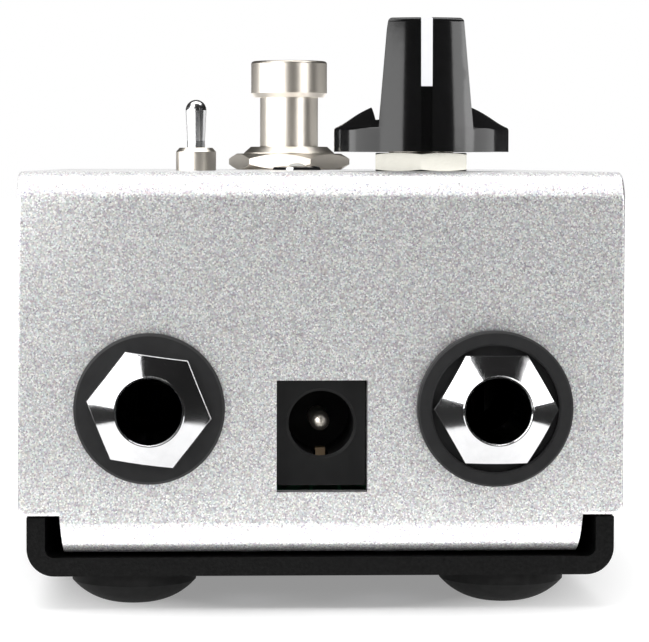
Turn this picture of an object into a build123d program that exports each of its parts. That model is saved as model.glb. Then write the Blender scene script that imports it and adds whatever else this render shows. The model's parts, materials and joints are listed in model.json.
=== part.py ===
from build123d import *
from math import cos, radians, sin, tan
import os

# A guitar effects pedal: a folded cover on a folded base, with two audio jacks and a power jack on the
# jack panel, and a control knob, a toggle switch, a status light and a footswitch on top.
# Millimetres, +Z up. The pedal stands on z = 0 and the jack panel faces -Y.

# ---- enclosure ----
LENGTH = 112.0            # outside of the jack panel to outside of the foot-end wall
COVER_WIDTH = 61.2
COVER_T = 2.0
COVER_BEND = 3.3          # outside radius of the cover's folds
COVER_DEEP = 38.7         # outside of the top to the underside of the return flanges
LEDGE_DROP = 34.7         # the end walls are full width down to here
TONGUE_TOP_W = 52.9       # below the ledge the end walls narrow to pass between the base's sides
TONGUE_LOW_W = 52.1
LEDGE_R = 0.9
FLANGE_LONG = 13.0        # how far each return flange runs in, from the outside of its wall
FOOT_H = 3.5
BASE_WIDTH = 59.6
BASE_T = 1.85
BASE_BEND = 2.8
BASE_TO_FLANGE = 0.35     # gap that the clinch nuts bridge
BASE_SHORT = 1.0          # the base ends this far inside the cover's outer faces
FIT_GAP = 0.3             # working gap between the base and the cover
EDGE_R = 0.35             # softened edges of painted sheet

# ---- heights and places, worked out from the enclosure ----
TOP_Z = FOOT_H + BASE_T + BASE_TO_FLANGE + COVER_DEEP
UNDER_TOP_Z = TOP_Z - COVER_T
LEDGE_Z = TOP_Z - LEDGE_DROP
FLANGE_Z = TOP_Z - COVER_DEEP
FLOOR_PLATE_Z = FOOT_H + BASE_T
JACK_PROUD = 4.2          # the jack nuts stand this far out of the jack panel
REAR_Y = (JACK_PROUD - LENGTH) / 2
FRONT_Y = REAR_Y + LENGTH
WALL_X = BASE_WIDTH / 2

# ---- jacks ----
JACK_X = 17.4
JACK_Z = TOP_Z - 23.8
JACK_BORE_R = 3.3         # takes a 6.35 mm plug
JACK_SLEEVE_R = 4.3       # threaded sleeve of the jack nut
JACK_SLEEVE_LONG = 9.5    # how far the sleeve runs in behind the panel's outer face
JACK_NOSE_R = 4.75
JACK_HOLE_R = 4.9
JACK_BODY_W = 16.0
JACK_BODY_LONG = 26.5
NUT_FLATS = 10.9
NUT_PRISM = 1.0           # straight part of the nut's flanks, above the flat washer
NUT_HEAD = 3.2
NUT_LIP = 0.28            # width of the lip round the bore
NUT_EDGE = 0.09           # chamfer where the nut's cone meets its flanks
INPUT_NUT_TURN = -8.0
WASHER_T = JACK_PROUD - NUT_HEAD
FLAT_WASHER_R = 7.6
CUP_WASHER_R = 7.85
CUP_R = 6.4               # round recess in the output jack's washer
CUP_SEAT = 0.4            # thickness of the washer under the nut
CUP_RIM = 1.55

# ---- power jack ----
POWER_W = 9.0
POWER_H = 10.7
POWER_LONG = 14.0
POWER_INSET = 1.7         # its face lies this far inside the panel's outer face
POWER_CUT_W = 9.17
POWER_CUT_TOP = TOP_Z - 21.0
POWER_CUT_LOW = TOP_Z - 32.3
POWER_Z = TOP_Z - 25.5
POWER_BORE_R = 3.3
POWER_BORE_DEEP = 9.5
POWER_PIN_R = 1.0
POWER_STEM_R = 0.7        # the pin's stem, through the back of the bore
POWER_PIN_SET = 2.0       # the pin's nose lies this far inside the jack's face
POWER_SPRING_UP = 2.7     # the spring's crest, below the bore's axis

# ---- boards ----
BOARD_T = 1.6
MAIN_TOP_Z = TOP_Z - 31.8
CONTROL_LOW_Z = 30.6
SWITCH_LOW_Z = 17.4
MAIN_START_Y = REAR_Y + 6.5
BOARDS_END_Y = REAR_Y + 68.0
LINK_Y = REAR_Y + 38.0    # plug and socket between the two boards
CHIP_Y = REAR_Y + 50.0
RIBBON_T = 0.9

# ---- knob and potentiometer ----
POT_X = 11.93
POT_Y = REAR_Y + 23.0
KNOB_LIFT = 2.1           # underside of the knob above the cover
SKIRT_R = 9.5
SKIRT_WALL = 2.65
KNOB_H = 14.2
BAR_LOW_HALF = 5.29       # half width of the pointer bar at the knob's underside
BAR_TOP_HALF = 4.10
BAR_FAR_NARROW = 0.85     # the bar's far end is this much narrower each side
BAR_LEAN = 0.9            # the bar's ends lean in by this much at the top
KNOB_REST = -1.35         # the bar stands this many degrees off the pedal's axis
CHANNEL_EDGE = 5.5        # inner edge of the dome beside the bar
CHANNEL_FLOOR = 3.4
GROOVE_W = 1.2
GROOVE_DEEP = 0.9
LINE_FOOT = 6.9           # the white line stops this far above the knob's underside
POT_SHAFT_R = 3.0
POT_BUSH_R = 3.5
POT_CASE_R = 8.0
POT_CASE_H = 8.0
POT_CASE_TOP = UNDER_TOP_Z - 0.4
POT_NUT_FLATS = 9.85
POT_NUT_TURN = 25.0
POT_NUT_SLOPE = 13.0      # of its corner chamfers, in degrees

# ---- toggle switch ----
TOGGLE_X = -12.5
TOGGLE_Y = REAR_Y + 40.0
TOGGLE_BUSH_R = 2.3
TOGGLE_BUSH_TOP = 2.6
PIVOT_Z = TOP_Z + 0.4
TOGGLE_TOP = 8.1
TOGGLE_BALL_R = 1.45
TOGGLE_FLANGE_R = 3.6

# ---- status light ----
LIGHT_Y = REAR_Y + 62.0
LENS_R = 1.5
LENS_TOP = TOP_Z + 0.85
LENS_LOW = UNDER_TOP_Z - 4.6
LENS_RISE = 0.8
CLIP_R = 2.05
CLIP_RIM_R = 3.0

# ---- footswitch ----
FOOT_Y = REAR_Y + 86.0
FOOT_BUSH_R = 6.0
FOOT_BUSH_TOP = 3.0
FOOT_NUT_FLATS = 14.0
FOOT_NUT_T = 2.1
FOOT_NUT_TURN = -12.0
TOOTH_WASHER_T = 0.8
CAP_R = 5.0
CAP_LOW = 9.6
CAP_TOP = 14.3
NECK_R = 3.82
FOOT_CASE = 17.3
FOOT_CASE_H = 14.0
FOOT_CASE_TOP = UNDER_TOP_Z - 5.6
FOOT_WELL_Z = FOOT_CASE_TOP - FOOT_CASE_H + 4.0     # floor of the room for the spring
PLUNGER_LOW = FOOT_CASE_TOP - 3.4

# ---- fasteners and feet ----
FOOT_X = 19.05
FOOT_IN = 8.0             # centre of a rubber foot, in from either end
FOOT_R = 6.4
SCREW_X = 7.0
SCREW_IN = 8.0
M3_R = 1.5
M3_SHANK_R = 1.46
CLINCH_R = 2.15           # barrel of a clinch nut
M3_HEAD_R = 2.7           # countersunk head
SINK = 0.1                # the countersunk heads lie this far inside the plate


def tube(outer_r, inner_r, low, high):
    """A tube about the Z axis."""
    return Pos(0, 0, low) * (
        Cylinder(outer_r, high - low, align=(Align.CENTER, Align.CENTER, Align.MIN))
        - Cylinder(inner_r, high - low, align=(Align.CENTER, Align.CENTER, Align.MIN))
    )


def rod(r, low, high):
    """A round bar about the Z axis."""
    return Pos(0, 0, low) * Cylinder(r, high - low, align=(Align.CENTER, Align.CENTER, Align.MIN))


def block(x0, x1, y0, y1, z0, z1):
    """A box between two corners."""
    return Pos((x0 + x1) / 2, (y0 + y1) / 2, (z0 + z1) / 2) * Box(x1 - x0, y1 - y0, z1 - z0)


def turned(points):
    """A solid of revolution about the Z axis from an outline of (radius, height) corners."""
    outline = make_face(Polyline(*[(r, 0, h) for r, h in points], close=True))
    return revolve(outline, Axis.Z, 360)


def hexagon_bar(flats, low, high, turn=0.0):
    """A hexagonal bar about the Z axis, a corner on +X when turn is 0."""
    outline = Rot(0, 0, turn) * RegularPolygon(flats / 2, 6, major_radius=False)
    return Pos(0, 0, low) * extrude(outline, high - low)


def hex_nut(flats, bore_r, low, high, turn=0.0, slope=30.0):
    """A hexagonal nut with chamfered corners."""
    corner_r = flats / 2 / cos(radians(30))
    face_r = flats / 2 * 0.98
    cut = (corner_r - face_r) * tan(radians(slope))
    crown = turned([(0, low), (face_r, low), (corner_r, low + cut), (corner_r, high - cut), (face_r, high),
                    (0, high)])
    return (hexagon_bar(flats, low, high, turn) & crown) - rod(bore_r, low - 1, high + 1)


def facing_out(shape, x, z):
    """Stands a shape made about +Z out of the jack panel, its z = 0 on the panel's outer face."""
    return Pos(x, REAR_Y, z) * Rot(90, 0, 0) * shape


# ---------------------------------------------------------------- enclosure

def folded_cover():
    """The cover as one folded sheet: top, jack panel, foot-end wall and two return flanges."""
    middle_z = TOP_Z - COVER_DEEP / 2
    outer = RectangleRounded(LENGTH, COVER_DEEP, COVER_BEND)
    inner = RectangleRounded(LENGTH - 2 * COVER_T, COVER_DEEP - 2 * COVER_T, COVER_BEND - COVER_T)
    mouth = Pos(0, -COVER_DEEP / 2) * Rectangle(LENGTH - 2 * FLANGE_LONG, 4 * COVER_T)
    section = Plane.YZ * (Pos((REAR_Y + FRONT_Y) / 2, middle_z) * (outer - inner - mouth))
    shell = extrude(section, COVER_WIDTH / 2, both=True)
    half_low, half_top, half_wide = TONGUE_LOW_W / 2, TONGUE_TOP_W / 2, COVER_WIDTH / 2
    for side in (-1, 1):
        notch = make_face(Polyline(
            (side * half_low, 0, 0), (side * half_low, 0, FLANGE_Z), (side * half_top, 0, LEDGE_Z),
            (side * (half_wide - LEDGE_R), 0, LEDGE_Z), (side * half_wide, 0, LEDGE_Z + LEDGE_R),
            (side * (half_wide + 5), 0, LEDGE_Z + LEDGE_R), (side * (half_wide + 5), 0, 0), close=True,
        ))
        shell -= extrude(notch, LENGTH, both=True)
    walls = (block(-half_wide, half_wide, REAR_Y, REAR_Y + COVER_T, 0, TOP_Z)
             + block(-half_wide, half_wide, FRONT_Y - COVER_T, FRONT_Y, 0, TOP_Z))
    for side in (-1, 1):
        rounding = (Pos(side * (half_wide - LEDGE_R), 0, LEDGE_Z + LEDGE_R)
                    * Rot(90, 0, 0) * Cylinder(LEDGE_R, 2 * LENGTH))
        square = block(*sorted((side * (half_wide - LEDGE_R), side * half_wide)), REAR_Y, FRONT_Y,
                       LEDGE_Z, LEDGE_Z + LEDGE_R)
        shell += rounding & square & walls
    for x in (-JACK_X, JACK_X):
        shell -= facing_out(rod(JACK_HOLE_R, -5, 5), x, JACK_Z)
    shell -= block(-POWER_CUT_W / 2, POWER_CUT_W / 2, REAR_Y - 1, REAR_Y + 5, POWER_CUT_LOW, POWER_CUT_TOP)
    top_holes = ((POT_X, POT_Y, POT_BUSH_R), (TOGGLE_X, TOGGLE_Y, TOGGLE_BUSH_R), (0, LIGHT_Y, CLIP_R),
                 (0, FOOT_Y, FOOT_BUSH_R))
    for x, y, r in top_holes:
        shell -= Pos(x, y, 0) * rod(r + 0.1, UNDER_TOP_Z - 1, TOP_Z + 1)
    for x, y in screw_places():
        shell -= Pos(x, y, 0) * rod(CLINCH_R + 0.05, FLANGE_Z - 1, FLANGE_Z + COVER_T + 1)
    side_edges = [edge for edge in shell.edges()
                  if abs(abs(edge.center().X) - half_wide) < 0.01 and edge.center().Z > LEDGE_Z + LEDGE_R]
    return fillet(side_edges, EDGE_R)


def cover_panels():
    """The folded sheet parted into its top, its two upright panels and the tongues with their flanges."""
    sheet = folded_cover()
    fold_z = TOP_Z - COVER_BEND - 0.5
    half, near, middle, far = COVER_WIDTH, REAR_Y - 1, (REAR_Y + FRONT_Y) / 2, FRONT_Y + 1
    return {
        "cover_top": sheet & block(-half, half, near, far, fold_z, TOP_Z + 1),
        "cover_jack_panel": sheet & block(-half, half, near, middle, LEDGE_Z, fold_z),
        "cover_end_panel": sheet & block(-half, half, middle, far, LEDGE_Z, fold_z),
        "cover_tongues": sheet & block(-half, half, near, far, 0, LEDGE_Z),
    }


def base_shell():
    """A folded channel: the bottom plate and two sides that rise inside the cover."""
    wall_top = UNDER_TOP_Z - FIT_GAP
    outer = RectangleRounded(BASE_WIDTH, 120, BASE_BEND)
    inner = RectangleRounded(BASE_WIDTH - 2 * BASE_T, 120 - 2 * BASE_T, BASE_BEND - BASE_T)
    channel = (outer - inner) & (Pos(0, -60 + (wall_top - FOOT_H) / 2) * Rectangle(80, wall_top - FOOT_H))
    section = Plane.XZ * (Pos(0, FOOT_H + 60) * channel)
    shell = Pos(0, (REAR_Y + FRONT_Y) / 2, 0) * extrude(section, LENGTH / 2 - BASE_SHORT, both=True)
    clear = COVER_T + FIT_GAP
    side = RectangleRounded(LENGTH - 2 * clear, 60, COVER_BEND - COVER_T + 0.4)
    keep_high = extrude(Plane.YZ * (Pos((REAR_Y + FRONT_Y) / 2, wall_top - 30) * side), 50, both=True)
    keep_low = block(-50, 50, REAR_Y - 1, FRONT_Y + 1, 0, LEDGE_Z - FIT_GAP)
    shell = shell & (keep_high + keep_low)
    cone_top = FOOT_H + SINK + M3_HEAD_R - M3_R
    sunk = turned([(0, FOOT_H - 1), (M3_HEAD_R + 0.05, FOOT_H - 1), (M3_HEAD_R + 0.05, FOOT_H + SINK),
                   (M3_R + 0.05, cone_top), (M3_R + 0.05, FLANGE_Z), (0, FLANGE_Z)])
    for x, y in screw_places():
        shell -= Pos(x, y, 0) * sunk
    return shell


def screw_places():
    return [(x, y) for x in (-SCREW_X, SCREW_X) for y in (REAR_Y + SCREW_IN, FRONT_Y - SCREW_IN)]


def foot_places():
    return [(x, y) for x in (-FOOT_X, FOOT_X) for y in (REAR_Y + FOOT_IN, FRONT_Y - FOOT_IN)]


def rubber_foot():
    """A low domed bumper, flat where it stands."""
    shoulder = 2.3
    outline = make_face(Line((0, 0, 0), (1.9, 0, 0))
                        + ThreePointArc((1.9, 0, 0), (4.3, 0, 0.68), (FOOT_R, 0, shoulder))
                        + Polyline((FOOT_R, 0, shoulder), (FOOT_R, 0, FOOT_H), (0, 0, FOOT_H), (0, 0, 0)))
    return revolve(outline, Axis.Z, 360)


def cross_recess(low):
    """The cutter for a cross recess 1 mm deep in a screw head whose face is at this height."""
    half_long, half_wide = 1.4, 0.35
    bar = block(-half_long, half_long, -half_wide, half_wide, low - 1, low + 1)
    return bar + Rot(0, 0, 90) * bar


def pan_screw(shank):
    """An M3 pan-head screw pointing up, its head below z = 0."""
    head_r, head_h = 2.6, 1.7
    head = turned([(0, 0), (head_r, 0), (head_r, -0.9), (head_r * 0.72, -head_h), (0, -head_h)])
    return (head - cross_recess(-head_h)) + rod(M3_SHANK_R, 0, shank)


def sunk_screw(length):
    """An M3 countersunk screw pointing up, the face of its head at z = 0."""
    cone = M3_HEAD_R - M3_SHANK_R
    screw = turned([(0, 0), (M3_HEAD_R, 0), (M3_SHANK_R, cone), (M3_SHANK_R, length), (0, length)])
    return screw - cross_recess(0)


def base_screws():
    return [Pos(x, y, FOOT_H + SINK) * sunk_screw(6.4) for x, y in screw_places()]


def clinch_nuts():
    """Self-clinching nuts pressed through the return flanges."""
    nut = rod(3.0, FLOOR_PLATE_Z, FLANGE_Z) + rod(CLINCH_R, FLANGE_Z, FLANGE_Z + COVER_T + 0.5)
    nut -= rod(M3_R, 0, TOP_Z)
    return [Pos(x, y, 0) * nut for x, y in screw_places()]


# ---------------------------------------------------------------- audio jacks

def jack_body():
    """A moulded jack: a square block with a round nose through the panel and a through passage."""
    low = MAIN_TOP_Z - JACK_Z
    high = low + 16.2
    back = -COVER_T - JACK_BODY_LONG
    half = JACK_BODY_W / 2
    body = block(-half, half, low, high, back, -COVER_T)
    body = fillet(body.edges().filter_by(Axis.Z), 0.6)
    body += rod(JACK_NOSE_R, -COVER_T, -0.2)
    body -= rod(JACK_SLEEVE_R + 0.05, -JACK_SLEEVE_LONG - 0.5, 1)
    body -= rod(3.7, back - 1, -COVER_T)
    slot = 2.2
    window = block(-slot, slot, 3.0, high + 1, back + 2, -JACK_SLEEVE_LONG - 0.7)
    low_window = block(-slot, slot, low + 1.2, -3.0, back + 2, -JACK_SLEEVE_LONG - 2.5)
    return body - window - low_window


def jack_nut(turn, seat):
    """A hexagonal ferrule: a head with a conical face, a lip round the bore and a sleeve."""
    top = WASHER_T + NUT_HEAD
    shoulder = WASHER_T + NUT_PRISM
    corner_r = NUT_FLATS / 2 / cos(radians(30))
    lip_r = JACK_BORE_R + NUT_LIP
    edge = 0.1
    cone = turned([(0, seat), (corner_r, seat), (corner_r, shoulder), (lip_r, top - edge), (0, top - edge)])
    off_corner = turn + 8
    head = hexagon_bar(NUT_FLATS, seat, top, turn) & (Rot(0, 0, off_corner) * cone)
    head = chamfer(head.edges().filter_by(GeomType.HYPERBOLA), NUT_EDGE)
    lip = turned([(0, shoulder), (lip_r, shoulder), (lip_r, top - edge), (lip_r - edge, top), (0, top)])
    sleeve = rod(JACK_SLEEVE_R, -JACK_SLEEVE_LONG, seat)
    bore = turned([(0, -20), (JACK_BORE_R, -20), (JACK_BORE_R, top - edge), (JACK_BORE_R + edge, top + 0.01),
                   (0, top + 0.01)])
    return (head + lip + sleeve) - bore


def flat_washer():
    washer = rod(FLAT_WASHER_R, 0, WASHER_T) - rod(JACK_SLEEVE_R + 0.1, -1, 5)
    outer = washer.edges().filter_by(GeomType.CIRCLE).sort_by(SortBy.RADIUS)[-2:]
    return chamfer(outer.sort_by(Axis.Z)[-1], 0.25)


def cup_washer():
    """The deeper washer, with a round recess that the nut sits in."""
    hole_r = JACK_SLEEVE_R + 0.1
    edge = 0.2
    return turned([(hole_r, 0), (CUP_WASHER_R, 0), (CUP_WASHER_R, CUP_RIM - edge),
                   (CUP_WASHER_R - edge, CUP_RIM), (CUP_R + edge, CUP_RIM), (CUP_R, CUP_RIM - edge),
                   (CUP_R, CUP_SEAT), (hole_r, CUP_SEAT)])


def jack_contacts():
    """Tip and sleeve springs: bent strips in the windows of the jack, with tails down to the board."""
    back = -COVER_T - JACK_BODY_LONG
    mouth = -JACK_SLEEVE_LONG
    tip_path = [(5.2, back + 3), (5.2, back + 8), (2.0, mouth - 3.5), (4.6, mouth - 1.3)]
    sleeve_path = [(-5.2, back + 3), (-5.2, back + 6), (-3.3, back + 10), (-5.0, back + 14.5)]
    strips = []
    for path, thick in ((tip_path, 0.35), (sleeve_path, -0.35)):
        outer = [(y + thick, z) for y, z in reversed(path)]
        outline = make_face(Polyline(*[(0, y, z) for y, z in path + outer], close=True))
        strips.append(extrude(outline, 1.5, both=True))
    return strips


def jack_pins():
    """Board tails of the jack, in two rows."""
    low = MAIN_TOP_Z - JACK_Z
    return [block(x - 0.5, x + 0.5, low - 3.2, low, z - 0.2, z + 0.2)
            for x in (-6.0, 6.0) for z in (-8.0, -16.0, -24.0)]


# ---------------------------------------------------------------- power jack

def power_jack_body():
    face = REAR_Y + POWER_INSET
    body = block(-POWER_W / 2, POWER_W / 2, face, face + POWER_LONG, MAIN_TOP_Z, MAIN_TOP_Z + POWER_H)
    body = chamfer(body.edges().filter_by(Axis.Y), 0.15)
    front_edges = body.faces().sort_by(Axis.Y)[0].edges()
    body = chamfer(front_edges, 0.12)
    bore = Pos(0, face, POWER_Z) * Rot(-90, 0, 0) * rod(POWER_BORE_R, -1, POWER_BORE_DEEP)
    lead_in = Pos(0, face, POWER_Z) * Rot(-90, 0, 0) * turned(
        [(0, -0.01), (POWER_BORE_R + 0.3, -0.01), (POWER_BORE_R, 0.3), (0, 0.3)])
    slot = block(-0.8, 0.8, face + 0.6, face + POWER_BORE_DEEP, MAIN_TOP_Z + 1.2, POWER_Z - 1.5)
    pin_hole = Pos(0, face, POWER_Z) * Rot(-90, 0, 0) * rod(POWER_STEM_R, 0, POWER_LONG + 1)
    return body - bore - lead_in - slot - pin_hole


def power_jack_pin():
    """The centre contact: a round-nosed pin with a stem that runs on through the back of the bore."""
    nose, stem = POWER_PIN_R, POWER_STEM_R
    side = nose * sin(radians(45))
    root = POWER_BORE_DEEP - POWER_PIN_SET
    end = POWER_LONG - POWER_PIN_SET
    outline = make_face(ThreePointArc((0, 0, 0), (side, 0, nose - side), (nose, 0, nose))
                        + Polyline((nose, 0, nose), (nose, 0, root), (stem, 0, root), (stem, 0, end),
                                   (0, 0, end), (0, 0, 0)))
    pin = Pos(0, 0, POWER_PIN_SET) * revolve(outline, Axis.Z, 360)
    return Pos(0, REAR_Y + POWER_INSET, POWER_Z) * Rot(-90, 0, 0) * pin


def power_jack_spring():
    """The sleeve contact: a bent strip along the bottom of the bore."""
    face = REAR_Y + POWER_INSET
    floor = MAIN_TOP_Z + 1.6
    crest = POWER_Z - POWER_SPRING_UP
    path = [(face + 0.9, floor), (face + 2.4, crest), (face + 4.0, crest), (face + 9.0, floor)]
    under = [(y, z - 0.3) for y, z in reversed(path)]
    outline = make_face(Polyline(*[(0, y, z) for y, z in path + under], close=True))
    return extrude(outline, 0.5, both=True)


# ---------------------------------------------------------------- boards

def main_board():
    low = MAIN_TOP_Z - BOARD_T
    board = block(-26.4, 26.4, MAIN_START_Y, BOARDS_END_Y, low, MAIN_TOP_Z)
    for x, y in standoff_places():
        board -= Pos(x, y, 0) * rod(M3_R + 0.1, low - 1, MAIN_TOP_Z + 1)
    for side in (-1, 1):
        for pin in jack_pins():
            spot = facing_out(pin, side * JACK_X, JACK_Z).center()
            board -= Pos(spot.X, spot.Y, 0) * block(-0.6, 0.6, -0.3, 0.3, low - 1, MAIN_TOP_Z + 1)
    return board


def control_board():
    high = CONTROL_LOW_Z + BOARD_T
    board = block(-24.0, 24.0, REAR_Y + 12.0, BOARDS_END_Y, CONTROL_LOW_Z, high)
    for x, y in standoff_places():
        board -= Pos(x, y, 0) * rod(M3_R + 0.1, CONTROL_LOW_Z - 1, high + 1)
    return board


def switch_board():
    board = Pos(0, FOOT_Y, SWITCH_LOW_Z) * extrude(RectangleRounded(26, 22, 1.0), BOARD_T)
    for x, y in lug_places():
        board -= block(x - 1.1, x + 1.1, y - 0.5, y + 0.5, 0, 30)
    return board


def standoff_places():
    return [(0, REAR_Y + 22.0), (-20.0, REAR_Y + 58.0), (20.0, REAR_Y + 58.0)]


def board_standoffs():
    """Hexagonal spacers between the two boards."""
    spacer = hexagon_bar(5.0, MAIN_TOP_Z, CONTROL_LOW_Z) - rod(M3_R, 0, 60)
    return [Pos(x, y, 0) * spacer for x, y in standoff_places()]


def board_screws():
    screws = []
    for x, y in standoff_places():
        screws.append(Pos(x, y, MAIN_TOP_Z - BOARD_T) * pan_screw(6.0))
        screws.append(Pos(x, y, CONTROL_LOW_Z + BOARD_T) * Rot(180, 0, 0) * pan_screw(6.0))
    return screws


def board_socket():
    """The lower half of the link between the boards."""
    return block(-7.0, 7.0, LINK_Y - 2.5, LINK_Y + 2.5, MAIN_TOP_Z, MAIN_TOP_Z + 9.0)


def board_header():
    return block(-7.0, 7.0, LINK_Y - 2.5, LINK_Y + 2.5, MAIN_TOP_Z + 9.0, CONTROL_LOW_Z)


def ribbon_cable():
    """A flat cable from the main board to the footswitch board, bent down and up again."""
    y0, y1 = BOARDS_END_Y - 4.0, FOOT_Y - 9.0
    low = MAIN_TOP_Z + RIBBON_T / 2 + 0.05
    high = SWITCH_LOW_Z - RIBBON_T / 2 - 0.15
    path = FilletPolyline((0, y0, low), (0, y0 + 4.0, low), (0, y1 - 1.5, high), (0, y1 + 2.5, high),
                          radius=2.5)
    start = Plane(origin=(0, y0, low), z_dir=(0, 1, 0), x_dir=(1, 0, 0))
    return sweep(start * Rectangle(10.0, RIBBON_T), path)


def electrolytic_capacitors():
    """Cans with a groove near the foot, standing on the main board."""
    can = turned([(0, 0), (3.1, 0), (3.1, 0.8), (2.9, 1.1), (3.1, 1.4), (3.15, 7.0), (2.6, 7.4), (0, 7.4)])
    places = [(x, REAR_Y + y) for x, y in ((-16, 38), (-16, 47), (16, 38), (16, 47))]
    return [Pos(x, y, MAIN_TOP_Z) * can for x, y in places]


def film_capacitors():
    body = block(-3.6, 3.6, -1.4, 1.4, 0, 6.5)
    body = fillet(body.edges().filter_by(Axis.Z), 0.4)
    places = [(x, REAR_Y + y) for x in (-6.5, 6.5) for y in (46.0, 51.0, 56.0)]
    return [Pos(x, y, MAIN_TOP_Z) * body for x, y in places]


def amplifier_chips():
    """Two dual-in-line chips with their legs."""
    height, leg_pitch = 3.9, 2.54
    chip = block(-3.2, 3.2, -4.7, 4.7, 0.6, height)
    for side in (-1, 1):
        for row in range(4):
            y = (row - 1.5) * leg_pitch
            chip += block(*sorted((side * 3.2, side * 3.7)), y - 0.3, y + 0.3, 0, 1.9)
    return [Pos(x, CHIP_Y, CONTROL_LOW_Z - height) * chip for x in (-13.0, 13.0)]


def resistors():
    """Quarter-watt bodies lying in a row on the main board."""
    half, end_r, waist_r = 3.1, 1.15, 0.9
    body = turned([(0, -half), (end_r - 0.15, -half), (end_r, -2.7), (waist_r, -1.9), (waist_r, 1.9),
                   (end_r, 2.7), (end_r - 0.15, half), (0, half)])
    lying = Rot(0, 90, 0) * body
    return [Pos(x, REAR_Y + y, MAIN_TOP_Z + end_r) * lying for x in (-16.0, 16.0) for y in (53.0, 63.0)]


# ---------------------------------------------------------------- potentiometer and knob

def at_pot(shape):
    return Pos(POT_X, POT_Y, 0) * shape


def pot_case():
    """A round can under the cover, open inside for the rotor."""
    high = POT_CASE_TOP
    low = high - POT_CASE_H
    can = rod(POT_CASE_R, low, high) - rod(POT_CASE_R - 0.8, low + 1.0, high - 1.5)
    can -= rod(POT_SHAFT_R + 0.05, low + 1.0, high + 1)
    for x in (-5, 0, 5):
        can += block(x - 1.0, x + 1.0, -POT_CASE_R - 2.0, -POT_CASE_R + 3.0, low, low + 1.0)
    return at_pot(can)


def pot_terminals():
    low, high = CONTROL_LOW_Z + BOARD_T, POT_CASE_TOP - POT_CASE_H
    y = -POT_CASE_R - 1.8
    return [at_pot(block(x - 0.4, x + 0.4, y, y + 0.5, low, high)) for x in (-5, 0, 5)]


def pot_bushing():
    return at_pot(tube(POT_BUSH_R, POT_SHAFT_R + 0.05, POT_CASE_TOP, TOP_Z + 2.9))


def pot_seat_washer():
    """A thin washer between the can and the underside of the cover."""
    return at_pot(tube(6.0, POT_BUSH_R + 0.05, POT_CASE_TOP, UNDER_TOP_Z))


def pot_nut():
    return at_pot(hex_nut(POT_NUT_FLATS, POT_BUSH_R + 0.05, TOP_Z, TOP_Z + 2.0, POT_NUT_TURN, POT_NUT_SLOPE))


def pot_shaft():
    low = POT_CASE_TOP - POT_CASE_H + 1.4
    return at_pot(rod(POT_SHAFT_R, low, TOP_Z + KNOB_LIFT + 10.6))


def pot_rotor():
    """The wiper carrier, on the shaft inside the can."""
    low = POT_CASE_TOP - POT_CASE_H + 1.4
    return at_pot(tube(6.6, POT_SHAFT_R, low, low + 2.0))


def on_knob(shape):
    """Places a shape made on the knob's own axis, its underside at z = 0."""
    return at_pot(Pos(0, 0, TOP_Z + KNOB_LIFT) * Rot(0, 0, KNOB_REST) * shape)


def bar_plan(half, z):
    """The bar's outline at one height, narrower at its far end."""
    far = half - BAR_FAR_NARROW
    return make_face(Polyline((-half, -SKIRT_R, z), (half, -SKIRT_R, z), (far, SKIRT_R, z),
                              (-far, SKIRT_R, z), close=True))


def control_knob():
    """A round skirt with domed shoulders, and a tall tapered bar across it from rim to rim."""
    edge, shoulder_r, shoulder = 0.35, 5.0, 5.0
    dome = make_face(
        Polyline((shoulder_r, 0, shoulder), (0, 0, shoulder), (0, 0, 0), (SKIRT_R, 0, 0),
                 (SKIRT_R, 0, SKIRT_WALL - edge))
        + ThreePointArc((SKIRT_R, 0, SKIRT_WALL - edge), (SKIRT_R - 0.09, 0, SKIRT_WALL - 0.11),
                        (SKIRT_R - 0.32, 0, SKIRT_WALL + 0.02))
        + Spline((SKIRT_R - 0.32, 0, SKIRT_WALL + 0.02), (8.5, 0, 3.04), (7.15, 0, 3.93), (6.05, 0, 4.55),
                 (shoulder_r, 0, shoulder)))
    skirt = revolve(dome, Axis.Z, 360)
    low_half = BAR_LOW_HALF - (BAR_LOW_HALF - BAR_TOP_HALF) * CHANNEL_FLOOR / KNOB_H
    for side in (-1, 1):
        channel = make_face(Polyline(
            (side * 3.0, 0, 6.0), (side * 3.0, 0, CHANNEL_FLOOR),
            (side * (low_half + 0.25), 0, CHANNEL_FLOOR), (side * CHANNEL_EDGE, 0, shoulder),
            (side * CHANNEL_EDGE, 0, 6.0), close=True))
        skirt -= extrude(channel, 2 * SKIRT_R, both=True)
    bar = loft([bar_plan(BAR_LOW_HALF, 0), bar_plan(BAR_TOP_HALF, KNOB_H)])
    bar &= turned([(0, 0), (SKIRT_R, 0), (SKIRT_R, SKIRT_WALL), (SKIRT_R - BAR_LEAN, KNOB_H), (0, KNOB_H)])
    bar = fillet(bar.faces().sort_by(Axis.Z)[-1].edges(), 0.5)
    knob = skirt + bar
    knob -= rod(7.9, -1, 1.4)
    knob += tube(4.6, POT_SHAFT_R, 1.2, 1.6)
    knob -= rod(POT_SHAFT_R + 0.02, -1, 10.8)
    half = GROOVE_W / 2
    knob -= block(-half, half, -SKIRT_R - 1, -SKIRT_R + GROOVE_DEEP, -1, KNOB_H + 1)
    knob -= block(-half, half, -SKIRT_R - 1, 0, KNOB_H - 0.5, KNOB_H + 1)
    knob -= Pos(0, 0, 5.0) * Rot(-90, 0, 0) * rod(M3_R + 0.02, 0, 20)
    return on_knob(knob)


def knob_line():
    """White paint in the bar's groove: the pointer line."""
    paint, half = 0.55, GROOVE_W / 2
    floor = -SKIRT_R + GROOVE_DEEP
    upright = block(-half, half, floor - paint, floor, LINE_FOOT, KNOB_H - 0.5)
    top = block(-half, half, floor - paint, 0, KNOB_H - 0.5, KNOB_H - 0.1)
    return on_knob(upright + top)


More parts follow.
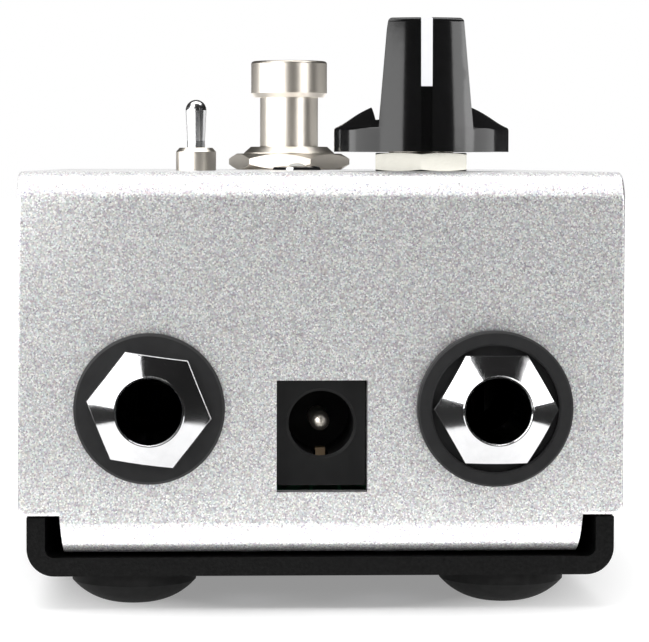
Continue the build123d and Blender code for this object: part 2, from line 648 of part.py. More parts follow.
def knob_set_screw():
    """A slotted grub screw in the far end of the bar."""
    screw = rod(M3_R, POT_SHAFT_R + 0.05, 8.4) - block(-2, 2, -0.3, 0.3, 7.6, 9)
    return on_knob(Pos(0, 0, 5.0) * Rot(-90, 0, 0) * screw)


# ---------------------------------------------------------------- toggle switch

def at_toggle(shape):
    return Pos(TOGGLE_X, TOGGLE_Y, 0) * shape


def toggle_body():
    high = UNDER_TOP_Z - 0.6
    low = CONTROL_LOW_Z + BOARD_T
    body = block(-4.0, 4.0, -6.4, 6.4, low, high)
    well = block(-1.6, 1.6, -2.6, 2.6, low + 1.5, high + 1)
    return at_toggle(body - well)


def toggle_bushing():
    """A plain round bushing with a narrow neck that keeps the lever's ball in."""
    top = TOP_Z + TOGGLE_BUSH_TOP
    seat = TOGGLE_BALL_R + 0.05
    low = UNDER_TOP_Z - 0.6
    flange = low + 0.55
    wall = turned([(seat, low), (TOGGLE_FLANGE_R, low), (TOGGLE_FLANGE_R, flange), (TOGGLE_BUSH_R, flange),
                   (TOGGLE_BUSH_R, top - 0.45), (TOGGLE_BUSH_R - 0.4, top), (1.82, top),
                   (1.38, PIVOT_Z + 1.0), (seat, PIVOT_Z + 0.5)])
    return at_toggle(wall)


def toggle_lever():
    """The bat: a slim rod that thickens to a round tip, with a pivot ball and a tail."""
    top = TOP_Z + TOGGLE_TOP
    tip_r, root_r = 1.2, 1.02
    tip_z = top - tip_r
    side = tip_r * sin(radians(45))
    outline = make_face(
        Polyline((0, 0, top), (0, 0, PIVOT_Z + 0.3), (root_r, 0, PIVOT_Z + 0.3),
                 (root_r, 0, PIVOT_Z + 3.0), (tip_r, 0, tip_z))
        + ThreePointArc((tip_r, 0, tip_z), (side, 0, tip_z + side), (0, 0, top)))
    bat = revolve(outline, Axis.Z, 360)
    ball = Pos(0, 0, PIVOT_Z) * Sphere(TOGGLE_BALL_R)
    tail = rod(0.7, PIVOT_Z - 6.0, PIVOT_Z)
    return at_toggle(bat + ball + tail)


def toggle_terminals():
    high = CONTROL_LOW_Z + BOARD_T
    return [at_toggle(block(x - 0.4, x + 0.4, y - 0.25, y + 0.25, CONTROL_LOW_Z - 1.5, CONTROL_LOW_Z))
            for x in (-2.0, 2.0) for y in (-4.0, 0.0, 4.0)]


# ---------------------------------------------------------------- status light

def light_bezel():
    """A thin-rimmed clip in the cover."""
    bore_r, tail, rim = LENS_R + 0.05, UNDER_TOP_Z - 3, TOP_Z + 0.5
    ring = turned([(bore_r, tail), (CLIP_R, tail), (CLIP_R, TOP_Z), (CLIP_RIM_R, TOP_Z),
                   (CLIP_RIM_R - 0.15, rim - 0.15), (CLIP_R + 0.15, rim), (bore_r, rim)])
    return Pos(0, LIGHT_Y, 0) * ring


def light_lens():
    """A round-topped light with a flange at its foot."""
    dome_r = (LENS_R ** 2 + LENS_RISE ** 2) / (2 * LENS_RISE)
    dome = Pos(0, 0, LENS_TOP - dome_r) * Sphere(dome_r)
    barrel = rod(LENS_R, LENS_LOW, LENS_TOP) & (dome + rod(LENS_R, LENS_LOW, LENS_TOP - LENS_RISE))
    return Pos(0, LIGHT_Y, 0) * (rod(1.9, LENS_LOW, LENS_LOW + 1.0) + barrel)


def light_leads():
    lead = rod(0.25, CONTROL_LOW_Z + BOARD_T, LENS_LOW)
    return [Pos(x, LIGHT_Y, 0) * lead for x in (-1.27, 1.27)]


# ---------------------------------------------------------------- footswitch

def at_foot(shape):
    return Pos(0, FOOT_Y, 0) * shape


def lug_places():
    return [(x, FOOT_Y + y) for x in (-5.2, 0, 5.2) for y in (-5.2, 0, 5.2)]


def footswitch_case():
    """The square moulded body, hollow for the plunger."""
    low = FOOT_CASE_TOP - FOOT_CASE_H
    half = FOOT_CASE / 2
    body = fillet(block(-half, half, -half, half, low, FOOT_CASE_TOP - 1.0).edges().filter_by(Axis.Z), 0.6)
    return at_foot(body - rod(6.0, FOOT_WELL_Z, FOOT_CASE_TOP))


def footswitch_frame():
    """The pressed metal cap folded over the body, with a hole for the plunger."""
    half = FOOT_CASE / 2 + 0.6
    low = FOOT_CASE_TOP - 7.0
    cap = block(-half, half, -half + 0.6, half - 0.6, low, FOOT_CASE_TOP)
    cap -= block(-half + 0.6, half - 0.6, -half, half, low - 1, FOOT_CASE_TOP - 1.0)
    return at_foot(cap - rod(NECK_R + 0.06, 0, 60))


def footswitch_bushing():
    top = TOP_Z + FOOT_BUSH_TOP
    bore_r, wall_r = NECK_R + 0.06, FOOT_BUSH_R - 0.05
    wall = turned([(bore_r, FOOT_CASE_TOP), (wall_r, FOOT_CASE_TOP), (wall_r, top - 0.8), (wall_r - 0.9, top),
                   (bore_r, top)])
    return at_foot(wall)


def footswitch_nut():
    return at_foot(hex_nut(FOOT_NUT_FLATS, FOOT_BUSH_R, TOP_Z, TOP_Z + FOOT_NUT_T, FOOT_NUT_TURN))


def footswitch_lock_nut():
    """The thin nut under the cover that sets how high the switch stands."""
    high = UNDER_TOP_Z - TOOTH_WASHER_T
    return at_foot(hex_nut(FOOT_NUT_FLATS, FOOT_BUSH_R, high - FOOT_NUT_T, high))


def footswitch_tooth_washer():
    """An internal-tooth washer on the lock nut."""
    low = UNDER_TOP_Z - TOOTH_WASHER_T
    ring = tube(8.2, 6.9, low, UNDER_TOP_Z)
    tooth = block(6.15, 7.2, -0.7, 0.7, low + 0.1, UNDER_TOP_Z - 0.1)
    teeth = 10
    for step in range(teeth):
        ring += Rot(0, 0, step * 360 / teeth) * tooth
    return at_foot(ring)


def footswitch_plunger():
    """The button: a wide cap on a neck that slides in the bushing."""
    under, top = TOP_Z + CAP_LOW, TOP_Z + CAP_TOP
    outline = make_face(
        Polyline((0, 0, top), (0, 0, PLUNGER_LOW), (NECK_R - 0.1, 0, PLUNGER_LOW),
                 (NECK_R, 0, PLUNGER_LOW + 0.4), (NECK_R, 0, under - 0.1), (CAP_R - 0.4, 0, under - 0.1),
                 (CAP_R, 0, under + 0.45), (CAP_R, 0, top - 0.35))
        + ThreePointArc((CAP_R, 0, top - 0.35), (CAP_R - 0.12, 0, top - 0.14), (CAP_R - 0.45, 0, top - 0.04))
        + Line((CAP_R - 0.45, 0, top - 0.04), (0, 0, top)))
    return at_foot(revolve(outline, Axis.Z, 360))


def footswitch_spring():
    """The return spring under the plunger."""
    wire_r, coil_r, turns = 0.4, 2.6, 4
    low = FOOT_WELL_Z + wire_r
    height = PLUNGER_LOW - wire_r - low
    helix = Helix(pitch=height / turns, height=height, radius=coil_r)
    section = Plane(origin=helix @ 0, z_dir=helix % 0) * Circle(wire_r)
    return at_foot(Pos(0, 0, low) * sweep(section, path=helix, is_frenet=True))


def footswitch_lugs():
    low, high = SWITCH_LOW_Z - 0.8, FOOT_CASE_TOP - FOOT_CASE_H
    return [block(x - 1.0, x + 1.0, y - 0.4, y + 0.4, low, high) for x, y in lug_places()]


# ---------------------------------------------------------------- writing the parts

def parts():
    """Every sub-part by its node name."""
    jacks = {}
    kinds = (("input", -JACK_X, jack_nut(INPUT_NUT_TURN, WASHER_T), flat_washer()),
             ("output", JACK_X, jack_nut(0, CUP_SEAT), cup_washer()))
    for name, x, nut, washer in kinds:
        jacks[name + "_jack_body"] = facing_out(jack_body(), x, JACK_Z)
        jacks[name + "_jack_nut"] = facing_out(nut, x, JACK_Z)
        jacks[name + "_jack_washer"] = facing_out(washer, x, JACK_Z)
        jacks[name + "_jack_contacts"] = [facing_out(strip, x, JACK_Z) for strip in jack_contacts()]
        jacks[name + "_jack_pins"] = [facing_out(pin, x, JACK_Z) for pin in jack_pins()]
    return jacks | cover_panels() | {
        "base_shell": base_shell(),
        "rubber_feet": [Pos(x, y, 0) * rubber_foot() for x, y in foot_places()],
        "base_screws": base_screws(),
        "clinch_nuts": clinch_nuts(),
        "power_jack_body": power_jack_body(),
        "power_jack_pin": power_jack_pin(),
        "power_jack_spring": power_jack_spring(),
        "main_board": main_board(),
        "control_board": control_board(),
        "switch_board": switch_board(),
        "board_standoffs": board_standoffs(),
        "board_screws": board_screws(),
        "board_socket": board_socket(),
        "board_header": board_header(),
        "ribbon_cable": ribbon_cable(),
        "electrolytic_capacitors": electrolytic_capacitors(),
        "film_capacitors": film_capacitors(),
        "amplifier_chips": amplifier_chips(),
        "resistors": resistors(),
        "pot_case": pot_case(),
        "pot_terminals": pot_terminals(),
        "pot_bushing": pot_bushing(),
        "pot_seat_washer": pot_seat_washer(),
        "pot_nut": pot_nut(),
        "pot_shaft": pot_shaft(),
        "pot_rotor": pot_rotor(),
        "control_knob": control_knob(),
        "knob_line": knob_line(),
        "knob_set_screw": knob_set_screw(),
        "toggle_body": toggle_body(),
        "toggle_bushing": toggle_bushing(),
        "toggle_lever": toggle_lever(),
        "toggle_terminals": toggle_terminals(),
        "light_bezel": light_bezel(),
        "light_lens": light_lens(),
        "light_leads": light_leads(),
        "footswitch_case": footswitch_case(),
        "footswitch_frame": footswitch_frame(),
        "footswitch_bushing": footswitch_bushing(),
        "footswitch_nut": footswitch_nut(),
        "footswitch_lock_nut": footswitch_lock_nut(),
        "footswitch_tooth_washer": footswitch_tooth_washer(),
        "footswitch_plunger": footswitch_plunger(),
        "footswitch_spring": footswitch_spring(),
        "footswitch_lugs": footswitch_lugs(),
    }


os.makedirs("parts", exist_ok=True)
for node, shape in parts().items():
    whole = Compound(children=list(shape)) if isinstance(shape, list) else shape
    export_step(whole, f"parts/{node}.step")
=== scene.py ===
import json
from math import pi, radians

import bpy
from mathutils import Matrix, Vector

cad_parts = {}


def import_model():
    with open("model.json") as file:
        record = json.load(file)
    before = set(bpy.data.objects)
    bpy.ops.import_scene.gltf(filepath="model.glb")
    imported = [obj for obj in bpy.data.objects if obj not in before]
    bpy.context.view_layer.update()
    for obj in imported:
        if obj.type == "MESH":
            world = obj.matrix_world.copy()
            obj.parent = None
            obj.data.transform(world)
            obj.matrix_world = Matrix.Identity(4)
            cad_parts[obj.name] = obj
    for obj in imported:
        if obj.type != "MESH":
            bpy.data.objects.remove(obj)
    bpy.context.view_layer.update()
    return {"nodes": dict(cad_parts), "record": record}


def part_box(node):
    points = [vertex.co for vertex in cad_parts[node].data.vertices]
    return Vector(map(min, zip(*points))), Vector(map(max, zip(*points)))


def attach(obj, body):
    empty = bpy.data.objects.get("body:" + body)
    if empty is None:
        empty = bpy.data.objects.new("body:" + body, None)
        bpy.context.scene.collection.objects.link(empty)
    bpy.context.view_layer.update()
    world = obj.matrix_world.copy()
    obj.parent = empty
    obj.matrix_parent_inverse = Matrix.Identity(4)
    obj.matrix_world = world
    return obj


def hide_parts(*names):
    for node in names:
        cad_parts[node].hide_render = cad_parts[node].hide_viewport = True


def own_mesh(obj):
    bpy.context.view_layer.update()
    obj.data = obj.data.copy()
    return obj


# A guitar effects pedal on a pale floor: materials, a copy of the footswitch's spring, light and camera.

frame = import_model()
NODES = frame["nodes"]

MM = 0.001

top_low, top_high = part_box("cover_top")
PANEL_Y = top_low.y          # the jack panel's outer face
TOP_Z = top_high.z
MID_Y = (top_low.y + top_high.y) / 2

COVER = ("cover_top", "cover_jack_panel", "cover_end_panel", "cover_tongues")

KEY_WATTS, FRONT_WATTS, BACK_WATTS = 9.0, 1.0, 3.0
ROOM_LIGHT = 0.30            # how bright the room is as a light
ROOM_MIRRORED = 0.015        # and as polished metal mirrors it
FLOOR_GLOW = 1.3

# brightness of the cards, which only reflections show, and of the linked lights
CARD_GLOW, NEAR_GLOW, DARK_GLOW = 3.7, 2.5, 0.02
SKY_GLOW, REAR_SKY_GLOW, WALL_GLOW = 1.9, 0.9, 0.25
GROUND_GLOW, APRON_GLOW = 1.7, 0.62
PIN_GLOW = 2.0


# ---------------------------------------------------------------- shader building

class Shader:
    """A node material under construction: a principled surface and the textures that feed it."""

    def __init__(self, name, **constants):
        self.material = bpy.data.materials.new(name)
        self.material.use_nodes = True
        self.tree = self.material.node_tree
        self.tree.nodes.clear()
        output = self.tree.nodes.new("ShaderNodeOutputMaterial")
        self.surface = self.tree.nodes.new("ShaderNodeBsdfPrincipled")
        self.tree.links.new(self.surface.outputs["BSDF"], output.inputs["Surface"])
        coordinates = self.tree.nodes.new("ShaderNodeTexCoord")
        self.place = coordinates.outputs["Object"]
        for socket, value in constants.items():
            self.surface.inputs[socket.replace("_", " ")].default_value = value

    def link(self, source, target):
        self.tree.links.new(source, target)

    def stretched(self, scale):
        """Object coordinates, scaled along each axis."""
        node = self.tree.nodes.new("ShaderNodeMapping")
        node.inputs["Scale"].default_value = scale
        self.link(self.place, node.inputs["Vector"])
        return node.outputs["Vector"]

    def noise(self, size, detail=2.0, roughness=0.5, place=None):
        """Soft noise whose features are about size metres across."""
        node = self.tree.nodes.new("ShaderNodeTexNoise")
        node.inputs["Scale"].default_value = 1 / size
        node.inputs["Detail"].default_value = detail
        node.inputs["Roughness"].default_value = roughness
        self.link(place or self.place, node.inputs["Vector"])
        return node.outputs["Fac"]

    def cells(self, size, output="Color", feature="F1"):
        """Random cells about size metres across."""
        node = self.tree.nodes.new("ShaderNodeTexVoronoi")
        node.feature = feature
        node.inputs["Scale"].default_value = 1 / size
        self.link(self.place, node.inputs["Vector"])
        return node.outputs[output]

    def ramp(self, factor, stops):
        """A colour ramp from (position, colour or grey) stops."""
        node = self.tree.nodes.new("ShaderNodeValToRGB")
        elements = node.color_ramp.elements
        while len(elements) < len(stops):
            elements.new(0.5)
        for element, (position, colour) in zip(elements, stops):
            element.position = position
            shade = (colour,) * 3 if isinstance(colour, (int, float)) else colour
            element.color = (*shade, 1.0)
        self.link(factor, node.inputs["Fac"])
        return node.outputs["Color"]

    def mix(self, factor, a, b):
        """Mixes two colours; factor, a and b may be sockets or constants."""
        node = self.tree.nodes.new("ShaderNodeMix")
        node.data_type = "RGBA"
        for socket, value in ((node.inputs["Factor"], factor), (node.inputs[6], a), (node.inputs[7], b)):
            if isinstance(value, bpy.types.NodeSocket):
                self.link(value, socket)
            elif socket.type == "RGBA":
                socket.default_value = (*value, 1.0)
            else:
                socket.default_value = value
        return node.outputs[2]

    def spread(self, factor, low, high):
        """Maps 0..1 to low..high."""
        node = self.tree.nodes.new("ShaderNodeMapRange")
        node.inputs["To Min"].default_value = low
        node.inputs["To Max"].default_value = high
        self.link(factor, node.inputs["Value"])
        return node.outputs["Result"]

    def colour(self, source):
        self.link(source, self.surface.inputs["Base Color"])

    def rough(self, source):
        self.link(source, self.surface.inputs["Roughness"])

    def bump(self, height, depth, strength=1.0):
        """Adds a bump of depth metres on top of any earlier one."""
        node = self.tree.nodes.new("ShaderNodeBump")
        node.inputs["Strength"].default_value = strength
        node.inputs["Distance"].default_value = depth
        self.link(height, node.inputs["Height"])
        earlier = self.surface.inputs["Normal"].links
        if earlier:
            self.link(earlier[0].from_socket, node.inputs["Normal"])
        self.link(node.outputs["Normal"], self.surface.inputs["Normal"])


# ---------------------------------------------------------------- materials

def silver_paint():
    """Silver metallic powder coat: coarse pale and dark flecks in a soft orange-peel skin."""
    s = Shader("silver_paint", Metallic=0.8, Roughness=0.30, Coat_Weight=0.1, Coat_Roughness=0.3)
    flecks = s.cells(0.15 * MM)
    shades = s.ramp(flecks, [(0.0, 0.13), (0.25, 0.38), (0.6, 0.60), (1.0, 1.0)])
    tint = s.mix(0.10, shades, flecks)
    cloud = s.noise(0.5 * MM, 3.0, 0.6)
    s.colour(s.mix(s.spread(cloud, 0.0, 0.30), tint, (0.72, 0.71, 0.72)))
    s.rough(s.spread(s.noise(0.3 * MM, 2.0), 0.25, 0.36))
    s.bump(flecks, 0.016 * MM, 0.8)
    s.bump(s.noise(0.9 * MM, 2.0), 0.02 * MM, 0.5)
    return s.material


def black_paint():
    """Black powder coat with a fine leathery texture."""
    s = Shader("black_paint", Roughness=0.55, Specular_IOR_Level=0.18)
    s.colour(s.ramp(s.noise(0.35 * MM, 4.0, 0.7), [(0.3, 0.002), (0.7, 0.010)]))
    s.rough(s.spread(s.noise(0.5 * MM, 3.0), 0.42, 0.68))
    s.bump(s.noise(0.30 * MM, 3.0, 0.6), 0.09 * MM, 1.0)
    return s.material


def rubber():
    """Matt black rubber with a fine grain."""
    s = Shader("foot_rubber", Roughness=0.7, Specular_IOR_Level=0.2)
    s.colour(s.ramp(s.noise(0.8 * MM, 4.0, 0.7), [(0.3, 0.004), (0.7, 0.014)]))
    s.rough(s.spread(s.noise(0.4 * MM, 3.0), 0.55, 0.8))
    s.bump(s.noise(0.12 * MM, 2.0), 0.01 * MM, 0.6)
    return s.material


def plated(name, colour, low, high, streak=(1, 1, 1), mottle=0.14):
    """Bright plating: faint waviness and fine rubbing marks."""
    s = Shader(name, Metallic=1.0, Roughness=(low + high) / 2)
    place = s.stretched(streak)
    shade = s.noise(0.9 * MM, 4.0, 0.6, place)
    dark = tuple(c * (1 - mottle) for c in colour)
    s.colour(s.mix(s.spread(shade, 0.0, 1.0), dark, colour))
    s.rough(s.spread(s.noise(0.25 * MM, 5.0, 0.7, place), low, high))
    s.bump(s.noise(1.6 * MM, 2.0), 0.01 * MM, 0.35)
    return s.material


def plastic(name, dark, light, low, high, grain=0.3 * MM, depth=0.01 * MM, **constants):
    """Moulded plastic: slight mottle, uneven gloss and a fine mould texture."""
    s = Shader(name, Roughness=(low + high) / 2, **constants)
    s.colour(s.mix(s.noise(1.2 * MM, 4.0, 0.6), dark, light))
    s.rough(s.spread(s.noise(0.6 * MM, 4.0, 0.65), low, high))
    s.bump(s.noise(grain, 3.0, 0.6), depth, 0.7)
    return s.material


def grey(v):
    """A grey that is very slightly blue."""
    return (v, v, v * 1.03)


def circuit_board():
    """Green solder mask over faint copper tracks."""
    s = Shader("circuit_board", Roughness=0.35, Coat_Weight=0.4, Coat_Roughness=0.2)
    tracks = s.ramp(s.cells(2.4 * MM, "Distance", "DISTANCE_TO_EDGE"), [(0.04, 1.0), (0.09, 0.0)])
    s.colour(s.mix(tracks, (0.012, 0.12, 0.05), (0.03, 0.26, 0.11)))
    s.rough(s.spread(s.noise(0.5 * MM, 3.0), 0.28, 0.45))
    s.bump(tracks, 0.03 * MM, 0.5)
    return s.material


def resistor_coat():
    """Tan lacquer with painted value bands."""
    s = Shader("resistor_coat", Roughness=0.35)
    bands = s.tree.nodes.new("ShaderNodeTexWave")
    bands.bands_direction = "X"
    bands.inputs["Scale"].default_value = 180.0
    s.link(s.place, bands.inputs["Vector"])
    s.colour(s.ramp(bands.outputs["Fac"], [(0.55, (0.62, 0.46, 0.27)), (0.75, (0.20, 0.05, 0.03))]))
    s.rough(s.spread(s.noise(0.3 * MM), 0.25, 0.45))
    s.bump(s.noise(0.3 * MM), 0.01 * MM, 0.5)
    return s.material


MATERIALS = {
    "silver_paint": silver_paint(),
    "black_paint": black_paint(),
    "foot_rubber": rubber(),
    "chrome_plate": plated("chrome_plate", (0.90, 0.90, 0.91), 0.08, 0.15),
    "nickel_plate": plated("nickel_plate", (0.87, 0.81, 0.72), 0.30, 0.36, mottle=0.05),
    "zinc_steel": plated("zinc_steel", (0.62, 0.63, 0.66), 0.25, 0.45),
    "spring_steel": plated("spring_steel", (0.80, 0.78, 0.73), 0.15, 0.35, (1, 6, 1)),
    "brass_metal": plated("brass_metal", (0.80, 0.58, 0.26), 0.20, 0.40),
    "washer_plastic": plastic("washer_plastic", grey(0.018), grey(0.034), 0.42, 0.62, Specular_IOR_Level=0.3),
    "jack_plastic": plastic("jack_plastic", grey(0.006), grey(0.014), 0.45, 0.62, Specular_IOR_Level=0.45),
    "switch_plastic": plastic("switch_plastic", (0.02, 0.05, 0.14), (0.03, 0.08, 0.20), 0.35, 0.5),
    "knob_plastic": plastic("knob_plastic", grey(0.004), grey(0.008), 0.07, 0.17, 0.8 * MM, 0.004 * MM),
    "line_paint": plastic("line_paint", grey(0.90), grey(0.94), 0.35, 0.5),
    "circuit_board": circuit_board(),
    "chip_plastic": plastic("chip_plastic", grey(0.012), grey(0.026), 0.5, 0.7),
    "capacitor_sleeve": plastic("capacitor_sleeve", (0.01, 0.015, 0.05), (0.015, 0.025, 0.08), 0.2, 0.35),
    "film_plastic": plastic("film_plastic", (0.42, 0.03, 0.02), (0.52, 0.05, 0.03), 0.25, 0.4),
    "resistor_coat": resistor_coat(),
    "lens_plastic": plastic("lens_plastic", (0.75, 0.74, 0.70), (0.86, 0.85, 0.80), 0.12, 0.25,
                            0.6 * MM, 0.004 * MM, Transmission_Weight=0.35, IOR=1.5),
    "cable_plastic": plastic("cable_plastic", grey(0.36), grey(0.45), 0.4, 0.55),
}


def dress_cad_nodes():
    """Gives every CAD node the material of its slot."""
    for entry in frame["record"]["subparts"]:
        mesh = NODES[entry["node"]].data
        mesh.materials.clear()
        mesh.materials.append(MATERIALS[entry["material_slot"]])


dress_cad_nodes()
# three pieces whose finish differs from others of their slot; the pot nut's and the power jack spring's
# plating are also darker copies, painted shade
NODES["toggle_lever"].data.materials[0] = plated("satin_chrome", (0.90, 0.90, 0.91), 0.18, 0.28)
# the pot nut: a darker copy of the nickel plating, painted shade so that it mirrors the bright cards less
NODES["pot_nut"].data.materials[0] = plated("nickel_painted_shade", (0.42, 0.41, 0.37), 0.16, 0.26)
# the power jack spring: a warm bronze tint, darkened as painted shade for the dark bottom of the bore
NODES["power_jack_spring"].data.materials[0] = plated("bronze_painted_shade", (0.30, 0.22, 0.14), 0.35, 0.55)


def return_spring():
    """The footswitch's coil, which shortens as the button comes down on it."""
    coil = NODES["footswitch_spring"]
    spring = bpy.data.objects.new("return_spring", coil.data.copy())
    bpy.context.scene.collection.objects.link(spring)
    spring.matrix_world = coil.matrix_world.copy()
    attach(spring, "enclosure")
    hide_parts("footswitch_spring")
    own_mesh(spring)


return_spring()


# ---------------------------------------------------------------- stage

FLOOR_HALF = 3.0
SHADE_WIDE, SHADE_LONG = 0.031, 0.058    # half axes of the oval where the floor's own glow is low
SHADE_FROM, SHADE_TO = 0.9, 1.8          # where that oval's edge starts and ends, in half axes
SHADE_GLOW = 0.22                        # share of glow inside it


def level(x0, x1, y0, y1, z):
    """Corners of a flat rectangle."""
    return [(x0, y0, z), (x1, y0, z), (x1, y1, z), (x0, y1, z)]


def floor():
    """White paper that glows away from the pedal and takes its shadow near it."""
    mesh = bpy.data.meshes.new("floor")
    mesh.from_pydata(level(-FLOOR_HALF, FLOOR_HALF, -FLOOR_HALF, FLOOR_HALF, 0), [], [(0, 1, 2, 3)])
    plane = bpy.data.objects.new("floor", mesh)
    bpy.context.scene.collection.objects.link(plane)
    s = Shader("floor_paper", Roughness=0.9)
    s.colour(s.mix(s.noise(0.4 * MM, 3.0), (0.93, 0.93, 0.93), (0.95, 0.95, 0.95)))
    length = s.tree.nodes.new("ShaderNodeVectorMath")
    length.operation = "LENGTH"
    s.link(s.stretched((1 / SHADE_WIDE, 1 / SHADE_LONG, 1)), length.inputs[0])
    fade = s.tree.nodes.new("ShaderNodeMapRange")
    fade.inputs["From Min"].default_value = SHADE_FROM
    fade.inputs["From Max"].default_value = SHADE_TO
    fade.inputs["To Min"].default_value = SHADE_GLOW
    s.link(length.outputs["Value"], fade.inputs["Value"])
    glow = s.tree.nodes.new("ShaderNodeEmission")
    glow.inputs["Color"].default_value = (1, 1, 1, 1)
    glow.inputs["Strength"].default_value = FLOOR_GLOW
    blend = s.tree.nodes.new("ShaderNodeMixShader")
    s.link(fade.outputs["Result"], blend.inputs["Fac"])
    s.link(s.surface.outputs["BSDF"], blend.inputs[1])
    s.link(glow.outputs["Emission"], blend.inputs[2])
    output = next(n for n in s.tree.nodes if n.type == "OUTPUT_MATERIAL")
    s.link(blend.outputs["Shader"], output.inputs["Surface"])
    mesh.materials.append(s.material)


def world():
    """White to the camera, soft light on everything, and dark in reflections, as a dim studio would be."""
    sky = bpy.data.worlds.new("studio")
    bpy.context.scene.world = sky
    sky.use_nodes = True
    tree = sky.node_tree
    tree.nodes.clear()
    output = tree.nodes.new("ShaderNodeOutputWorld")
    path = tree.nodes.new("ShaderNodeLightPath")
    shades = []
    for strength in (ROOM_LIGHT, ROOM_MIRRORED, 1.0):
        shade = tree.nodes.new("ShaderNodeBackground")
        shade.inputs["Color"].default_value = (1, 1, 1, 1)
        shade.inputs["Strength"].default_value = strength
        shades.append(shade.outputs["Background"])
    shown = shades[0]
    for ray, shade in (("Is Glossy Ray", shades[1]), ("Is Camera Ray", shades[2])):
        blend = tree.nodes.new("ShaderNodeMixShader")
        tree.links.new(path.outputs[ray], blend.inputs["Fac"])
        tree.links.new(shown, blend.inputs[1])
        tree.links.new(shade, blend.inputs[2])
        shown = blend.outputs["Shader"]
    tree.links.new(shown, output.inputs["Surface"])


def softbox(name, place, aim, width, height, watts):
    """An area light that reflections don't show; the cards are what plating mirrors."""
    light = bpy.data.lights.new(name, "AREA")
    light.shape = "RECTANGLE"
    light.size, light.size_y = width, height
    light.energy = watts
    lamp = bpy.data.objects.new(name, light)
    lamp.location = place
    lamp.rotation_euler = (Vector(aim) - Vector(place)).to_track_quat("-Z", "Y").to_euler()
    lamp.visible_glossy = False
    bpy.context.scene.collection.objects.link(lamp)
    return lamp


def mirrored_light(name, nodes, place, aim, width, height, glow):
    """An area light of even brightness glow, which lights only some nodes and which they mirror."""
    lamp = softbox(name, place, aim, width, height, glow * pi * width * height)
    lamp.visible_glossy = True
    lamp.visible_camera = False
    lit = bpy.data.collections.new(name + "_lights")
    for node in nodes:
        lit.objects.link(NODES[node])
    lamp.light_linking.receiver_collection = lit


def card(name, corners, strength):
    """A flat card seen only in reflections: bright like a softbox, or near black."""
    mesh = bpy.data.meshes.new(name)
    mesh.from_pydata(corners, [], [(0, 1, 2, 3)])
    plane = bpy.data.objects.new(name, mesh)
    bpy.context.scene.collection.objects.link(plane)
    material = bpy.data.materials.new(name)
    material.use_nodes = True
    tree = material.node_tree
    tree.nodes.clear()
    glow = tree.nodes.new("ShaderNodeEmission")
    glow.inputs["Color"].default_value = (1, 1, 1, 1)
    glow.inputs["Strength"].default_value = strength
    output = tree.nodes.new("ShaderNodeOutputMaterial")
    tree.links.new(glow.outputs["Emission"], output.inputs["Surface"])
    mesh.materials.append(material)
    for ray in ("camera", "diffuse", "transmission", "volume_scatter", "shadow"):
        setattr(plane, "visible_" + ray, False)


def upright(x0, y0, x1, y1, low, high):
    """Corners of a standing card."""
    return [(x0, y0, low), (x1, y1, low), (x1, y1, high), (x0, y0, high)]


SKY_Z = 0.55                 # height of the lights over the cover
FLOOR_CARD_Z = 0.5 * MM      # just over the floor
FAR = 3.5                    # how far the dark floor cards reach
DARK_FROM = 15.5 * MM        # they begin this far in front of the panel
DARK_SIDE = 75 * MM          # and this far to either side of the middle
NEAR_LEFT = 65 * MM          # the near card stands this far left of the middle
NEAR_LOW = 22 * MM


def room_lights():
    """Soft light on everything."""
    panel = PANEL_Y
    softbox("key", (-0.1, panel - 0.05, 0.9), (0, MID_Y, 0), 0.9, 0.8, KEY_WATTS)
    softbox("front_fill", (0.0, panel - 0.9, 0.5), (0, panel, TOP_Z / 2), 0.7, 0.5, FRONT_WATTS)
    softbox("back_fill", (0.0, MID_Y + 0.7, 0.4), (0, MID_Y, 0), 0.9, 0.4, BACK_WATTS)


def cover_lights():
    """What the silver paint mirrors: bright over and under its bends, dimmer before its panel."""
    for name, place, aim, width, height, glow in (
            ("sky", (0, -0.30, SKY_Z), (0, -0.10, 0), 1.4, 0.62, SKY_GLOW),
            ("rear_sky", (0, 0.75, SKY_Z), (0, 0.30, 0), 1.4, 1.45, REAR_SKY_GLOW),
            ("wall", (0, -0.80, 0.20), (0, 0, TOP_Z / 2), 1.4, 0.6, WALL_GLOW),
            ("ground", (0, -0.02, 0.001), (0, -0.02, 1), 0.5, 0.05, GROUND_GLOW),
            ("apron", (0, -0.345, 0.001), (0, -0.345, 1), 1.2, 0.60, APRON_GLOW)):
        panel = Vector((0, PANEL_Y, 0))
        mirrored_light(name, COVER, panel + Vector(place), panel + Vector(aim), width, height, glow)


def pin_lights():
    """Two small lights that the power jack's pin shows on its tip."""
    low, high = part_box("power_jack_pin")
    tip = Vector((0, low.y, (low.z + high.z) / 2))
    for name, x, z in (("pin_left", -0.030, 0.004), ("pin_under", 0.010, -0.030)):
        place = tip + Vector((x, -0.05, z))
        mirrored_light(name, ("power_jack_pin",), place, tip, 0.052, 0.052, PIN_GLOW)


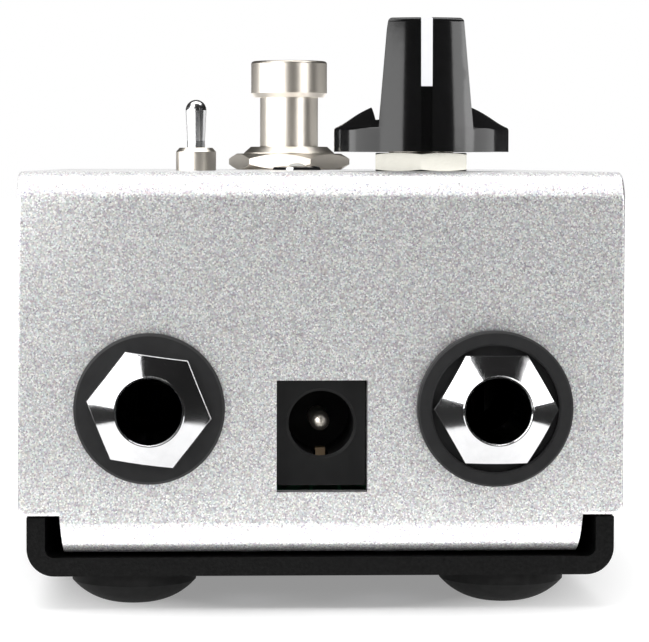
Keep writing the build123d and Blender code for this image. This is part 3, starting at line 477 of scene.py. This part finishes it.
def bright_cards():
    """What the nuts, the knob and the plated parts mirror at either side and above."""
    panel = PANEL_Y
    card("left_near_card", [(-NEAR_LEFT, panel - 0.019, NEAR_LOW), (-NEAR_LEFT, panel + 0.030, NEAR_LOW),
                            (-0.045, panel + 0.030, 0.160), (-0.045, panel - 0.050, 0.160)], NEAR_GLOW)
    mirrored_light("right_near_light", ("output_jack_nut", "control_knob"),
                   (0.063, panel + 0.0055, 0.053), (0.0, panel + 0.0055, 0.053), 0.049, 0.062, NEAR_GLOW)
    card("left_card", upright(-0.040, panel - 0.075, -0.30, MID_Y + 0.10, 0.036, 0.080), CARD_GLOW)
    all_but_nuts = [name for name in NODES if not name.endswith("_jack_nut")]
    mirrored_light("right_card", all_but_nuts, (0.1975, panel - 0.1095, 0.0865),
                   (0.1485, panel + 0.0155, 0.0865), 0.134, 0.087, CARD_GLOW)
    mirrored_light("left_glow", ("output_jack_nut",), (-0.17, panel + 0.04, 0.123),
                   (0.06, panel + 0.30, 0.123), 0.347, 0.088, CARD_GLOW)
    card("top_card", level(-0.35, 0.35, panel - 0.02, panel + 0.20, 0.50), CARD_GLOW)


def dark_cards():
    """They darken the floor in reflections, before the pedal and beside its front half."""
    edge = PANEL_Y - DARK_FROM
    for name, x0, x1, y0, y1 in (("front_dark", -FAR, FAR, -FAR, edge),
                                 ("left_dark", -FAR, -DARK_SIDE, edge, MID_Y),
                                 ("right_dark", DARK_SIDE, FAR, edge, MID_Y)):
        card(name, level(x0, x1, y0, y1, FLOOR_CARD_Z), DARK_GLOW)


def studio():
    room_lights()
    cover_lights()
    pin_lights()
    bright_cards()
    dark_cards()


# ---------------------------------------------------------------- camera

CAMERA_AWAY = 0.270          # in front of the jack panel
CAMERA_LEFT = 0.0140
CAMERA_OVER_TOP = 0.0009
FRAME_WIDE = 649             # pixels
PX_PER_METRE = 9900          # at the jack panel
FOCAL_PX = PX_PER_METRE * CAMERA_AWAY * 1.007
SENSOR_MM = 36.0
YAW, PITCH, ROLL = radians(2.183), radians(2.401), radians(0.08)
SHIFT_X, SHIFT_Y = 0.06, -0.07


def camera():
    """Stands where the pedal is seen from: level with its top, a little left of its middle."""
    data = bpy.data.cameras.new("camera")
    data.sensor_width = SENSOR_MM
    data.lens = FOCAL_PX / FRAME_WIDE * SENSOR_MM
    data.shift_x, data.shift_y = SHIFT_X, SHIFT_Y
    viewer = bpy.data.objects.new("camera", data)
    viewer.location = (-CAMERA_LEFT, PANEL_Y - CAMERA_AWAY, TOP_Z + CAMERA_OVER_TOP)
    turn = Matrix.Rotation(-YAW, 4, "Z")
    tilt = Matrix.Rotation(pi / 2 - PITCH, 4, "X")
    viewer.rotation_euler = (turn @ tilt @ Matrix.Rotation(ROLL, 4, "Z")).to_euler()
    bpy.context.scene.collection.objects.link(viewer)
    bpy.context.scene.camera = viewer


camera()
world()
studio()
floor()

display = bpy.context.scene.view_settings
display.view_transform = "Standard"
display.look = "None"
